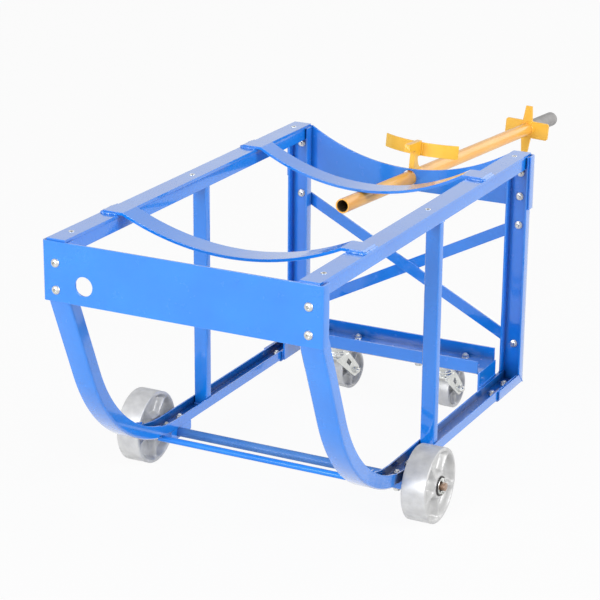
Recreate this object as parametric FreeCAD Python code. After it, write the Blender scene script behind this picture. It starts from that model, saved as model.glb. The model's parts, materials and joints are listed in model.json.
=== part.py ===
import FreeCAD, Part
import math
import os

# Drum trolley: a bolted channel cradle on two cast wheels and two swivel casters,
# with its tipping lever stored through the rear plate.
# Millimetres. X runs across the frame, Y back from the front plate, Z up from the floor.

# Overall frame
frame_width = 580.0
frame_length = 1008.0
frame_height = 602.0

# Fits and clearances
nest_gap = 0.3
weld_gap = 0.3
running_gap = 0.05
side_gap = 0.3
bolt_play = 0.5
overrun = 10.0
same_place = 0.001

# Channel of the legs, feet and rear posts
channel_width = 48.0
channel_depth = 25.0
leg_depth = 28.5
channel_wall = 4.0
channel_bend = 7.5

# Bent front legs, angles in degrees from the vertical
knee_room = 1.5
leg_rake = 22.3
knee_inside_radius = 5.0
sweep_radius = 351.5
leg_stop_gap = 15.5

# Rear feet and bottom rails
foot_length = 138.0
foot_bolt_shares = (0.12, 0.62)
rail_wall = 3.5
rail_depth = 20.5
rail_lead = 120.0
rail_end_room = 6.0

# Top rails and their caps
cap_width = 40.0
cap_thick = 6.0
cap_hole_radius = 4.0
cap_hole_front_inset = 53.0
cap_hole_rear_inset = 45.0
top_rail_width = 35.0
top_rail_height = 26.0
top_rail_wall = 3.0
top_rail_bend = 4.0

# Middle posts
mid_post_width = 31.0
mid_post_depth = 18.0
mid_post_wall = 3.0
mid_post_bend = 4.0
mid_post_place = 535.0

# Front and rear plates
plate_height = 117.0
plate_wall = 4.0
plate_drop = 4.0
plate_flange = 25.0
plate_bend = 6.0
plate_bolt_top_inset = 41.5
plate_bolt_low_inset = 23.0
store_hole_radius = 18.75
store_hole_side = 201.5
store_hole_rise = 38.3
lever_hole_under_web = 11.0
lever_hole_over_web = 3.5

# Saddle straps
strap_width = 51.0
strap_thick = 6.0
strap_bend_inset = 10.0
strap_tab_reach = 37.0
strap_tab_bevel = 4.0
front_strap_place = 188.0
front_strap_sag = 51.0
rear_strap_setback = 210.0

# Cross brace
brace_width = 25.0
brace_thick = 4.0
brace_drop = 41.0
brace_rise = 88.0
spacer_radius = 11.0

# Caster channel and its end stands
carrier_height = 136.0
carrier_width = 100.0
carrier_flange = 30.0
carrier_wall = 4.0
carrier_bend = 6.0
carrier_setback = 45.0
stand_wall = 4.5
stand_rise = 5.0
stand_inset = 4.0

# Axle, brackets and tie bar
axle_radius = 8.0
axle_setback = 3.5
axle_end = 12.5
sleeve_radius = 9.5
bracket_crown = 1.5
bracket_below = 13.0
bracket_ahead = 30.0
bracket_back = 50.0
bracket_chamfer = 4.0
bracket_bolt_ahead = 17.5
bracket_bolt_behind = 36.5
tie_bar_radius = 6.35
tie_bar_ahead = 64.5
tie_bar_tuck = 10.0
boss_radius = 12.5
boss_sides = 12

# Cast front wheels
wheel_radius = 76.2
wheel_width = 51.0
wheel_room = 10.0
wheel_rim = 8.0
wheel_web = 7.0
wheel_hub_radius = 25.0
wheel_rib = 6.0
wheel_ribs = 5
pocket_flats = 3

# Swivel casters
caster_height = 123.0
caster_inset = 103.5
caster_trail = 48.0
caster_plate_width = 102.0
caster_plate_length = 80.0
caster_plate_thick = 4.0
caster_plate_corner = 8.0
caster_bolt_side = 42.5
caster_bolt_along = 30.0
caster_cup_radius = 27.0
caster_cup_height = 14.0
race_radius = 25.0
race_height = 13.0
race_gap = 0.2
swivel_sides = 16
king_pin_radius = 6.0
king_pin_head_radius = 10.0
king_pin_head = 4.0
fork_wall = 3.5
fork_bend = 7.0
fork_top_length = 48.0
fork_boss_radius = 14.0
fork_slot_radius = 5.0
fork_slot_length = 18.0
fork_slot_drop = 21.0
caster_wheel_radius = 44.5
caster_wheel_width = 32.0
caster_wheel_rim = 6.0
caster_wheel_web = 5.0
caster_hub_radius = 14.0
caster_hub_step = 4.0
caster_boss_radius = 11.0
caster_rib = 4.0
caster_ribs = 5
caster_axle_radius = 5.0
left_caster_turn = -9.0
right_caster_turn = -2.0

# Bolts
bolt_radius = 4.0
bolt_flats = 13.0
bolt_head = 5.3
bolt_nut = 6.5
bolt_sides = 6
dome_radius = 9.0
dome_height = 5.0
dome_sides = 8
dome_cut = 2.5

# Tipping lever, angles in degrees
lever_radius = 15.5
lever_wall = 3.0
lever_length = 1211.0
lever_ahead = 337.0
lever_tilt = 3.8
lever_roll = 3.0
lever_play = 1.5
lever_seat = 0.4
star_thick = 6.0
star_upright_reach = 58.0
star_upright_tip = 16.0
star_upright_base = 30.0
star_side_reach = 56.0
star_side_height = 42.0
star_corner = 4.0
grip_gap = 2.0
grip_length = 158.0
grip_radius = 17.5
grip_cap = 3.0
hook_thick = 12.0
hook_nib_reach = 30.0
hook_top = 80.0
hook_bar = 18.0
hook_room = 2.0
hook_neck = 18.0
hook_neck_height = 46.0
hook_foot = 44.0
hook_foot_rise = 3.0
hook_foot_curve_share = 0.3
hook_tail = 32.0
chime_width = 176.0
chime_height = 30.0
chime_wall = 4.0
chime_sag = 26.0
chime_drop = 4.5
chime_shift = 4.0

# Places that follow from the sizes
side_centre = frame_width / 2 - plate_wall - channel_width / 2
side_inner = side_centre - channel_width / 2
side_outer = side_centre + channel_width / 2
rear_inside = frame_length - plate_wall
cap_bottom = frame_height - cap_thick
plate_top = frame_height - plate_drop
plate_bottom = plate_top - plate_height
runner_height = wheel_radius + axle_radius + running_gap + bracket_crown - channel_wall - nest_gap
rail_inset = channel_wall + nest_gap
rail_bottom = runner_height + rail_inset
rail_floor = rail_bottom + rail_wall
rail_width = channel_width - 2 * rail_inset
knee_radius = leg_depth + knee_inside_radius
bolt_row_top = plate_top - plate_bolt_top_inset
bolt_row_low = plate_bottom + plate_bolt_low_inset
lever_hole_radius = lever_radius + lever_play
lever_hole_height = plate_bottom + lever_hole_under_web + lever_hole_radius
lever_hole_place = frame_length - plate_wall / 2
lever_height = lever_hole_height - lever_play + lever_seat
hollow_low = lever_hole_height + lever_hole_radius + lever_hole_over_web
rear_strap_place = frame_length - rear_strap_setback - strap_width
wheel_inner = side_outer + wheel_room
wheel_outer = wheel_inner + wheel_width
axle_half = wheel_outer + axle_end
carrier_half = side_inner - stand_wall
carrier_front = frame_length - carrier_setback - carrier_width
caster_place = carrier_front + carrier_width / 2
caster_side = carrier_half - caster_inset
fork_inside = caster_wheel_width / 2 + caster_hub_step + side_gap
fork_half = fork_inside + fork_wall
cup_bottom = caster_height - caster_plate_thick - caster_cup_height
fork_top = cup_bottom - race_height - race_gap
star_place = lever_length - lever_ahead - grip_length - grip_gap - star_thick
bolt_corner = bolt_flats / math.sqrt(3)
bend_share = 2 - math.sqrt(2)
octagon_share = math.sqrt(2) - 1


def vec(x, y, z):
    return FreeCAD.Vector(x, y, z)


origin = vec(0, 0, 0)
across = vec(1, 0, 0)
back = vec(0, 1, 0)
up = vec(0, 0, 1)

# Centres of the two bends of a leg, in the plane of the leg
knee_height = bolt_row_low - bolt_corner - knee_room
knee_centre = vec(0, plate_wall + knee_radius, knee_height)
sweep_height = runner_height + sweep_radius
sweep_rise = (sweep_height - knee_centre.z) * math.sin(math.radians(leg_rake))
sweep_run = (sweep_radius - knee_radius - sweep_rise) / math.cos(math.radians(leg_rake))
sweep_centre = vec(0, knee_centre.y + sweep_run, sweep_height)

# Axle and bracket places follow the end of the sweep
axle_place = sweep_centre.y + axle_setback
tie_bar_place = axle_place - tie_bar_ahead
tie_bar_reach = sweep_radius - rail_inset + weld_gap + tie_bar_radius
tie_bar_height = sweep_centre.z - math.sqrt(tie_bar_reach ** 2 - (sweep_centre.y - tie_bar_place) ** 2)
bracket_low = wheel_radius - bracket_below
leg_end = tie_bar_place - tie_bar_radius - leg_stop_gap
leg_end_turn = math.degrees(math.acos((sweep_centre.y - leg_end) / sweep_radius))
rail_start_turn = leg_end_turn - math.degrees(rail_lead / sweep_radius)


# General shape helpers

def line(start, end):
    return Part.LineSegment(start, end).toShape()


def arc(start, through, end):
    return Part.Arc(start, through, end).toShape()


def face_of(edges):
    return Part.Face(Part.Wire(edges))


def polygon(points):
    return Part.Face(Part.makePolygon(points + points[:1]))


def cylinder(radius, base, axis, length):
    return Part.makeCylinder(radius, length, base, axis)


def tube(outer, inner, base, axis, length):
    return cylinder(outer, base, axis, length).cut(cylinder(inner, base, axis, length))


def mirrored(shape):
    return shape.mirror(origin, across)


def ring_of_points(radius, sides, height):
    points = []
    for step in range(sides):
        angle = 2 * math.pi * step / sides
        points.append(vec(radius * math.cos(angle), radius * math.sin(angle), height))
    return points


def aimed(shape, base, direction):
    placed = shape.copy()
    placed.Placement = FreeCAD.Placement(base, FreeCAD.Rotation(up, direction))
    return placed


def prism(radius, sides, base, axis, length):
    return aimed(polygon(ring_of_points(radius, sides, 0)).extrude(up * length), base, axis)


def drill(shape, radius, base, axis, depth):
    start = base - axis * overrun
    return shape.cut(cylinder(radius, start, axis, depth + 2 * overrun))


def drill_flats(shape, radius, base, axis, depth):
    """A hole with flats that a round of this radius just passes."""
    corner = radius / math.cos(math.pi / bolt_sides)
    start = base - axis * overrun
    return shape.cut(prism(corner, bolt_sides, start, axis, depth + 2 * overrun))


def drill_bolt(shape, base, axis, depth):
    return drill_flats(shape, bolt_radius + bolt_play, base, axis, depth)


def turned(shape, axis, angle):
    placed = shape.copy()
    placed.rotate(origin, axis, angle)
    return placed


def moved(shape, offset):
    placed = shape.copy()
    placed.translate(offset)
    return placed


def u_section(half, depth, wall, bend):
    """A U in the XY plane with a flat for each bend: its web lies on Y = 0, its sides run to Y = depth."""
    inner = half - wall
    flat = bend * bend_share
    right = [(half - flat, 0), (half, flat), (half, depth), (inner, depth), (inner, wall)]
    left = [(-x, y) for x, y in reversed(right)]
    return polygon([vec(x, y, 0) for x, y in right + left])


def bar_plate(start, end, width, offset):
    """A flat bar with cut corners that reaches half its width past two points."""
    along = (end - start).normalize() * (width / 2)
    aside = along.cross(offset).normalize() * (width / 2)
    points = []
    for middle, way in ((end, 1), (start, -1)):
        points.append(middle + (along * octagon_share + aside) * way)
        points.append(middle + (along + aside * octagon_share) * way)
        points.append(middle + (along - aside * octagon_share) * way)
        points.append(middle + (along * octagon_share - aside) * way)
    return polygon(points).extrude(offset)


# Fasteners

def dome_head():
    """A round head drawn with flats, with its outer edge cut back."""
    head = prism(dome_radius, dome_sides, vec(0, 0, -dome_height), up, dome_height)
    rim = [edge for edge in head.Edges if edge.BoundBox.ZMax < same_place - dome_height]
    return head.makeChamfer(dome_cut, rim)


def bolt(grip, base, direction, head=None):
    """A bolt with its nut: the head sits on the base and the nut at the end of the grip."""
    if head is None:
        head = prism(bolt_corner, 6, vec(0, 0, -bolt_head), up, bolt_head)
    shank = prism(bolt_radius, bolt_sides, origin, up, grip + bolt_nut)
    nut = prism(bolt_corner, 6, vec(0, 0, grip), up, bolt_nut)
    return aimed(head.fuse([shank, nut]).removeSplitter(), base, direction)


def pair(shape):
    return [shape, mirrored(shape)]


# Front and rear plates

def plate_pan():
    return u_section(frame_width / 2, plate_flange, plate_wall, plate_bend).extrude(up * plate_height)


def drill_plate_bolts(shape, place):
    for side in (-side_centre, side_centre):
        for row in (bolt_row_top, bolt_row_low):
            shape = drill_bolt(shape, vec(side, place, row), back, plate_wall)
    return shape


def front_plate():
    plate = drill_plate_bolts(moved(plate_pan(), up * plate_bottom), 0)
    hole = vec(-store_hole_side, 0, plate_bottom + store_hole_rise)
    return drill(plate, store_hole_radius, hole, back, plate_wall)


def rear_plate():
    plate = turned(plate_pan(), up, 180)
    plate = moved(plate, vec(0, frame_length, plate_bottom))
    plate = drill_plate_bolts(plate, rear_inside)
    depth = plate_top - hollow_low
    radius = (side_inner ** 2 + depth ** 2) / (2 * depth)
    plate = drill(plate, radius, vec(0, rear_inside, hollow_low + radius), back, plate_wall)
    hole = vec(0, rear_inside, lever_hole_height)
    return drill(plate, lever_hole_radius, hole, back, plate_wall)


# Bent legs and the rails that nest in them

def inward(turn):
    angle = math.radians(turn)
    return vec(0, math.cos(angle), math.sin(angle))


def on_sweep(depth, turn):
    return sweep_centre - inward(turn) * (sweep_radius - depth)


def on_knee(depth, turn):
    return knee_centre - inward(turn) * (knee_radius - depth)


def sweep_arc(depth, first, last):
    middle = on_sweep(depth, (first + last) / 2)
    return arc(on_sweep(depth, first), middle, on_sweep(depth, last))


def leg_path(depth):
    """Edges down a leg at a depth in from its outer face, with their two ends."""
    top = vec(0, plate_wall + depth, cap_bottom)
    knee = arc(on_knee(depth, 0), on_knee(depth, leg_rake / 2), on_knee(depth, leg_rake))
    edges = [
        line(top, on_knee(depth, 0)),
        knee,
        line(on_knee(depth, leg_rake), on_sweep(depth, leg_rake)),
        sweep_arc(depth, leg_rake, leg_end_turn),
    ]
    return edges, top, on_sweep(depth, leg_end_turn)


def rail_path(depth):
    """Edges along a bottom rail at a depth in from the outer face of the leg."""
    end = vec(0, rear_inside - channel_wall - rail_end_room, runner_height + depth)
    edges = [sweep_arc(depth, rail_start_turn, 90), line(on_sweep(depth, 90), end)]
    return edges, on_sweep(depth, rail_start_turn), end


def ribbon(path, near, far):
    outer, outer_start, outer_end = path(near)
    inner, inner_start, inner_end = path(far)
    ends = [line(outer_end, inner_end), line(inner_start, outer_start)]
    return Part.Face(Part.Wire(Part.__sortEdges__(outer + inner + ends)))


def edges_along(shape, route):
    """The edges of a shape whose middles lie on a route."""
    found = []
    for edge in shape.Edges:
        middle = edge.valueAt((edge.FirstParameter + edge.LastParameter) / 2)
        if route.distToShape(Part.Vertex(middle))[0] < same_place:
            found.append(edge)
    return found


def bent_channel(path, inset, width, wall, depth):
    """A channel bent along a flat path, with its open side inwards, on the right side of the frame."""
    first = side_centre - width / 2
    last = side_centre + width / 2
    web = moved(ribbon(path, inset, inset + wall), across * first).extrude(across * width)
    flange = ribbon(path, inset, inset + depth)
    flanges = [moved(flange, across * place).extrude(across * wall) for place in (first, last - wall)]
    return web.fuse(flanges).removeSplitter()


def foot_bolt_places():
    start = rear_inside - foot_length
    return [start + foot_length * share for share in foot_bolt_shares]


def bracket_bolt_places():
    return [axle_place - bracket_bolt_ahead, axle_place + bracket_bolt_behind]


def front_leg():
    leg = bent_channel(leg_path, 0, channel_width, channel_wall, leg_depth)
    outline = Part.makeCompound(leg_path(0)[0])
    corners = []
    for place in (side_inner, side_outer):
        corners += edges_along(leg, moved(outline, across * place))
    leg = leg.makeChamfer(channel_bend * bend_share, corners)
    for row in (bolt_row_top, bolt_row_low):
        leg = drill_bolt(leg, vec(side_centre, plate_wall, row), back, channel_wall)
    return leg


def bottom_rail():
    rail = bent_channel(rail_path, rail_inset, rail_width, rail_wall, rail_depth)
    for place in foot_bolt_places() + bracket_bolt_places():
        rail = drill_bolt(rail, vec(side_centre, place, rail_bottom), up, rail_wall)
    return rail


# Rear posts and feet, mitred where they meet

def channel_length(length):
    return u_section(channel_width / 2, channel_depth, channel_wall, channel_bend).extrude(up * length)


def mitre_wedge(corner):
    """The half of the corner block on one side of the mitre line, named by its third point."""
    low = vec(0, rear_inside + overrun, runner_height - overrun)
    high = vec(0, rear_inside - channel_depth - overrun, runner_height + channel_depth + overrun)
    wedge = polygon([low, high, corner]).extrude(across * (channel_width + 2 * overrun))
    return moved(wedge, across * (side_inner - overrun))


def rear_post():
    length = cap_bottom - runner_height
    post = moved(turned(channel_length(length), up, 180), vec(side_centre, rear_inside, runner_height))
    inside = vec(0, rear_inside - channel_depth - overrun, runner_height - overrun)
    post = post.cut(mitre_wedge(inside))
    for row in (bolt_row_top, bolt_row_low, plate_bottom - brace_drop, runner_height + brace_rise):
        place = vec(side_centre, rear_inside - channel_wall, row)
        post = drill_bolt(post, place, back, channel_wall)
    return post


def rear_foot():
    foot = turned(channel_length(foot_length), across, 90)
    foot = moved(foot, vec(side_centre, rear_inside, runner_height))
    outside = vec(0, rear_inside + overrun, runner_height + channel_depth + overrun)
    foot = foot.cut(mitre_wedge(outside))
    for place in foot_bolt_places():
        foot = drill_bolt(foot, vec(side_centre, place, runner_height), up, channel_wall)
    return foot


# Top rails, caps and middle posts

def cap_hole_places():
    first = plate_wall + cap_hole_front_inset
    last = rear_inside - cap_hole_rear_inset
    return [first, (first + last) / 2, last]


def top_rail():
    length = rear_inside - plate_wall - 2 * channel_wall
    section = u_section(top_rail_width / 2, top_rail_height, top_rail_wall, top_rail_bend)
    rail = turned(section.extrude(up * length), across, -90)
    rail = moved(rail, vec(side_centre, plate_wall + channel_wall, cap_bottom))
    for place in cap_hole_places():
        rail = drill_bolt(rail, vec(side_centre, place, cap_bottom - top_rail_wall), up, top_rail_wall)
    return rail


def top_cap():
    corner = vec(side_centre - cap_width / 2, plate_wall, cap_bottom)
    cap = Part.makeBox(cap_width, rear_inside - plate_wall, cap_thick, corner)
    for place in cap_hole_places():
        cap = drill(cap, cap_hole_radius, vec(side_centre, place, cap_bottom), up, cap_thick)
    return cap


def mid_post():
    length = cap_bottom - top_rail_height - rail_floor
    section = u_section(mid_post_width / 2, mid_post_depth, mid_post_wall, mid_post_bend)
    return moved(section.extrude(up * length), vec(side_centre, mid_post_place, rail_floor))


# Saddle straps

def lever_crown(place):
    """Height of the top of the stored lever tube at a place along the frame."""
    slope = math.radians(lever_tilt)
    return lever_height + (lever_hole_place - place) * math.tan(slope) + lever_radius / math.cos(slope)


def saddle_strap(place, sag):
    span = side_centre - cap_width / 2 - strap_bend_inset
    reach = side_centre - cap_width / 2 + strap_tab_reach
    radius = (span ** 2 + sag ** 2) / (2 * sag)
    centre = frame_height - sag + radius
    top = frame_height + strap_thick
    top_span = math.sqrt((radius - strap_thick) ** 2 - (centre - top) ** 2)
    crown = centre - radius + strap_thick
    bevel = top - strap_tab_bevel
    edges = [
        line(vec(-reach, place, frame_height), vec(-span, place, frame_height)),
        arc(vec(-span, place, frame_height), vec(0, place, centre - radius), vec(span, place, frame_height)),
        line(vec(span, place, frame_height), vec(reach, place, frame_height)),
        line(vec(reach, place, frame_height), vec(reach, place, bevel)),
        line(vec(reach, place, bevel), vec(reach - strap_tab_bevel, place, top)),
        line(vec(reach - strap_tab_bevel, place, top), vec(top_span, place, top)),
        arc(vec(top_span, place, top), vec(0, place, crown), vec(-top_span, place, top)),
        line(vec(-top_span, place, top), vec(strap_tab_bevel - reach, place, top)),
        line(vec(strap_tab_bevel - reach, place, top), vec(-reach, place, bevel)),
        line(vec(-reach, place, bevel), vec(-reach, place, frame_height)),
    ]
    return face_of(edges).extrude(back * strap_width)


def rear_strap():
    sag = frame_height - lever_crown(rear_strap_place) - lever_seat
    return saddle_strap(rear_strap_place, sag)


# Cross brace on the rear posts

def brace_ends(place):
    high = vec(-side_centre, place, plate_bottom - brace_drop)
    low = vec(side_centre, place, runner_height + brace_rise)
    return high, low


def falling_brace():
    high, low = brace_ends(rear_inside)
    brace = bar_plate(high, low, brace_width, back * brace_thick)
    for end in (high, low):
        brace = drill_bolt(brace, end, back, brace_thick)
    return brace


def rising_brace():
    return moved(mirrored(falling_brace()), back * brace_thick)


def brace_spacers():
    rings = []
    for end in brace_ends(rear_inside):
        place = vec(-end.x, end.y, end.z)
        spacer = prism(spacer_radius, bolt_sides, place, back, brace_thick)
        rings.append(drill_bolt(spacer, place, back, brace_thick))
    return Part.makeCompound(rings)


# Caster channel and end stands

def caster_bolt_places():
    places = []
    for side in (-caster_side, caster_side):
        for aside in (-caster_bolt_side, caster_bolt_side):
            for along in (-caster_bolt_along, caster_bolt_along):
                places.append((side + aside, caster_place + along))
    return places


def caster_channel():
    section = u_section(carrier_width / 2, carrier_flange, carrier_wall, carrier_bend)
    channel = turned(turned(section.extrude(up * (2 * carrier_half)), across, 90), up, 90)
    channel = moved(channel, vec(-carrier_half, caster_place, carrier_height))
    for side, place in caster_bolt_places():
        channel = drill_bolt(channel, vec(side, place, carrier_height), up, carrier_wall)
    return channel


def caster_stand():
    low = runner_height + stand_rise
    length = carrier_width - 2 * stand_inset
    corner = vec(carrier_half, carrier_front + stand_inset, low)
    return Part.makeBox(stand_wall, length, carrier_height + carrier_wall - low, corner)


# Axle, brackets and tie bar

def bracket():
    """A block under the rail that holds the axle, with a round boss out to the wheel."""
    front = axle_place - bracket_ahead
    rear = axle_place + bracket_back
    points = [
        vec(0, front, rail_bottom),
        vec(0, rear, rail_bottom),
        vec(0, rear, bracket_low + bracket_chamfer),
        vec(0, rear - bracket_chamfer, bracket_low),
        vec(0, front + bracket_chamfer, bracket_low),
        vec(0, front, bracket_low + bracket_chamfer),
    ]
    inner = side_centre - rail_width / 2
    boss = wheel_inner - side_gap - inner - rail_width
    block = moved(polygon(points).extrude(across * rail_width), across * inner)
    bore = vec(inner, axle_place, wheel_radius)
    block = block.fuse(prism(boss_radius, boss_sides, bore + across * rail_width, across, boss))
    block = drill(block, axle_radius + running_gap, bore, across, rail_width + boss)
    for place in bracket_bolt_places():
        base = vec(side_centre, place, bracket_low)
        block = drill_bolt(block, base, up, rail_bottom - bracket_low)
    return block


def axle():
    return cylinder(axle_radius, vec(-axle_half, axle_place, wheel_radius), across, 2 * axle_half)


def axle_sleeve():
    half = side_centre - rail_width / 2
    base = vec(-half, axle_place, wheel_radius)
    return tube(sleeve_radius, axle_radius + running_gap, base, across, 2 * half)


def tie_bar():
    half = side_centre - rail_width / 2 + tie_bar_tuck
    base = vec(-half, tie_bar_place, tie_bar_height)
    return cylinder(tie_bar_radius, base, across, 2 * half)


# Cast wheels, turned about X with their middle at the origin

def pocket(outer, inner, rib, count, near, depth):
    """One pocket between two ribs, with flats along its rim and hub sides."""
    points = []
    for radius, way in ((outer, 1), (inner, -1)):
        half = math.pi / count - math.asin(rib / 2 / radius)
        for step in range(pocket_flats + 1):
            angle = way * half * (2 * step / pocket_flats - 1)
            points.append(vec(near, radius * math.sin(angle), radius * math.cos(angle)))
    return polygon(points).extrude(across * depth)


def cast_wheel(radius, width, rim, web, hub_radius, count, rib):
    """A wheel with pockets sunk into both faces between its ribs."""
    wheel = cylinder(radius, vec(-width / 2, 0, 0), across, width)
    hollow = pocket(radius - rim, hub_radius, rib, count, web / 2, width)
    for step in range(count):
        wheel = wheel.cut(pair(turned(hollow, across, 360 * step / count)))
    return wheel


def front_wheel():
    wheel = cast_wheel(wheel_radius, wheel_width, wheel_rim, wheel_web,
                       wheel_hub_radius, wheel_ribs, wheel_rib)
    wheel = drill(wheel, axle_radius + running_gap, vec(-wheel_width / 2, 0, 0), across, wheel_width)
    return moved(wheel, vec((wheel_inner + wheel_outer) / 2, axle_place, wheel_radius))


# Swivel casters, built about their swivel axis and trailing to the rear

def caster_plate():
    half = caster_plate_width / 2
    length = caster_plate_length / 2
    bottom = caster_height - caster_plate_thick
    short = half - caster_plate_corner
    low = length - caster_plate_corner
    points = [(half, low), (short, length), (-short, length), (-half, low)]
    points += [(-x, -y) for x, y in points]
    plate = polygon([vec(x, y, bottom) for x, y in points]).extrude(up * caster_plate_thick)
    cup = prism(caster_cup_radius, swivel_sides, vec(0, 0, cup_bottom), up, caster_cup_height)
    low = fork_top - fork_wall - side_gap - king_pin_head
    pin = cylinder(king_pin_radius, vec(0, 0, low), up, bottom - low)
    head = prism(king_pin_head_radius, bolt_sides, vec(0, 0, low), up, king_pin_head)
    plate = plate.fuse([cup, pin, head]).removeSplitter()
    for aside in (-caster_bolt_side, caster_bolt_side):
        for along in (-caster_bolt_along, caster_bolt_along):
            plate = drill_bolt(plate, vec(aside, along, bottom), up, caster_plate_thick)
    return plate


def fork_outline():
    """Side view of the fork: a flat top that narrows to a round boss about the wheel axle."""
    half = fork_top_length / 2
    boss = vec(0, caster_trail, caster_wheel_radius)
    front = vec(0, -half, fork_top)
    rear = vec(0, half, fork_top)
    shoulder = vec(0, -half, fork_top - fork_bend)
    points = []
    for corner, sign in ((rear, 1), (shoulder, -1)):
        toward = corner - boss
        lean = math.acos(fork_boss_radius / toward.Length)
        angle = math.atan2(toward.z, toward.y) - sign * lean
        points.append(boss + vec(0, math.cos(angle), math.sin(angle)) * fork_boss_radius)
    lowest = boss - (rear + shoulder - boss * 2).normalize() * fork_boss_radius
    edges = [
        line(front, rear),
        line(rear, points[0]),
        arc(points[0], lowest, points[1]),
        line(points[1], shoulder),
        line(shoulder, front),
    ]
    return face_of(edges)


def caster_fork():
    reach = caster_trail + fork_top_length
    section = u_section(fork_half, fork_top, fork_wall, fork_bend)
    shell = moved(turned(section.extrude(up * (2 * reach)), across, -90), vec(0, -reach, fork_top))
    outline = moved(fork_outline(), across * -fork_half).extrude(across * (2 * fork_half))
    race = prism(race_radius, swivel_sides, vec(0, 0, fork_top), up, race_height)
    fork = shell.common(outline).fuse(race).removeSplitter()
    low = vec(0, 0, fork_top - fork_wall)
    fork = drill(fork, king_pin_radius + running_gap, low, up, fork_wall + race_height)
    boss = vec(-fork_half, caster_trail, caster_wheel_radius)
    fork = drill_flats(fork, caster_axle_radius + bolt_play, boss, across, 2 * fork_half)
    lean = vec(0, caster_trail, caster_wheel_radius - fork_top).normalize()
    first = vec(0, 0, fork_top) + lean * fork_slot_drop
    last = first + lean * fork_slot_length
    aside = lean.cross(across) * fork_slot_radius
    slot = polygon([first + aside, last + aside, last - aside, first - aside])
    slot = slot.extrude(across * (2 * (fork_half + overrun)))
    return fork.cut(moved(slot, across * -(fork_half + overrun)))


def caster_wheel():
    wheel = cast_wheel(caster_wheel_radius, caster_wheel_width, caster_wheel_rim, caster_wheel_web,
                       caster_hub_radius, caster_ribs, caster_rib)
    hub_half = caster_wheel_width / 2 + caster_hub_step
    hub_end = vec(-hub_half, 0, 0)
    wheel = wheel.fuse(prism(caster_boss_radius, boss_sides, hub_end, across, 2 * hub_half)).removeSplitter()
    wheel = drill(wheel, caster_axle_radius + running_gap, hub_end, across, 2 * hub_half)
    return moved(wheel, vec(0, caster_trail, caster_wheel_radius))


def caster_axle():
    base = vec(-fork_half, caster_trail, caster_wheel_radius)
    head = prism(bolt_corner, 6, vec(0, 0, -bolt_head), up, bolt_head)
    shank = cylinder(caster_axle_radius, origin, up, 2 * fork_half + bolt_nut)
    nut = prism(bolt_corner, 6, vec(0, 0, 2 * fork_half), up, bolt_nut)
    return aimed(head.fuse([shank, nut]).removeSplitter(), base, across)


def placed_caster(shape, side, turn):
    return moved(turned(shape, up, turn), vec(side, caster_place, carrier_height - caster_height))


# Tipping lever, built along Y about the point where its axis crosses the rear plate

def lever_tube():
    return tube(lever_radius, lever_radius - lever_wall, vec(0, -lever_ahead, 0), back, lever_length)


def lever_grip():
    start = star_place + star_thick + grip_gap
    end = lever_length - lever_ahead
    hole = lever_radius + weld_gap
    tip = end + weld_gap + grip_cap
    outline = polygon([
        vec(hole, start, 0),
        vec(grip_radius, start, 0),
        vec(grip_radius, tip, 0),
        vec(0, tip, 0),
        vec(0, end + weld_gap, 0),
        vec(hole, end + weld_gap, 0),
    ])
    return outline.revolve(origin, back, 360)


def wrench_star():
    tip = star_upright_tip / 2
    base = star_upright_base / 2
    reach = star_upright_reach
    upright = polygon([
        vec(-base, star_place, 0), vec(-tip, star_place, reach), vec(tip, star_place, reach),
        vec(base, star_place, 0), vec(tip, star_place, -reach), vec(-tip, star_place, -reach),
    ]).extrude(back * star_thick)
    side = star_side_reach
    half = star_side_height / 2
    points = [(side, half - star_corner), (side - star_corner, half)]
    points += [(-x, z) for x, z in reversed(points)]
    points += [(-x, -z) for x, z in points]
    sides = polygon([vec(x, star_place, z) for x, z in points]).extrude(back * star_thick)
    star = upright.fuse(sides).removeSplitter()
    return drill(star, lever_radius + weld_gap, vec(0, star_place, 0), back, star_thick)


def lever_hook():
    front = plate_wall / 2 + hook_room
    neck = front + hook_neck
    foot = front + hook_foot
    foot_top = lever_radius + hook_foot_rise
    under = hook_top - hook_bar
    tail = front + hook_tail
    curve = vec(0, neck + (foot - neck) * hook_foot_curve_share,
                foot_top + (hook_neck_height - foot_top) * hook_foot_curve_share)
    edges = [
        line(vec(0, -hook_nib_reach, hook_top), vec(0, -hook_nib_reach, under)),
        line(vec(0, -hook_nib_reach, under), vec(0, front, under)),
        line(vec(0, front, under), vec(0, front, 0)),
        line(vec(0, front, 0), vec(0, foot, 0)),
        line(vec(0, foot, 0), vec(0, foot, foot_top)),
        arc(vec(0, foot, foot_top), curve, vec(0, neck, hook_neck_height)),
        line(vec(0, neck, hook_neck_height), vec(0, tail, hook_neck_height)),
        line(vec(0, tail, hook_neck_height), vec(0, tail, hook_top)),
        line(vec(0, tail, hook_top), vec(0, -hook_nib_reach, hook_top)),
    ]
    hook = moved(face_of(edges), across * (-hook_thick / 2)).extrude(across * hook_thick)
    seat = vec(0, front, 0)
    return drill(hook, lever_radius + weld_gap, seat, back, foot - front)


def chime_plate():
    front = plate_wall / 2 + hook_room + hook_tail + weld_gap
    half = chime_width / 2
    radius = (half ** 2 + chime_sag ** 2) / (2 * chime_sag)
    lean = math.asin(half / radius)
    low = hook_top - chime_drop - chime_height
    inner = radius - chime_wall
    centre = vec(0, front + radius, low)
    side = vec(math.sin(lean), -math.cos(lean), 0)
    other = vec(-side.x, side.y, 0)
    edges = [
        arc(centre + other * radius, centre - back * radius, centre + side * radius),
        line(centre + side * radius, centre + side * inner),
        arc(centre + side * inner, centre - back * inner, centre + other * inner),
        line(centre + other * inner, centre + other * radius),
    ]
    return moved(face_of(edges).extrude(up * chime_height), across * -chime_shift)


def stored(shape):
    placed = turned(turned(shape, back, lever_roll), across, -lever_tilt)
    return moved(placed, vec(0, lever_hole_place, lever_height))


# Bolt groups

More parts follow.
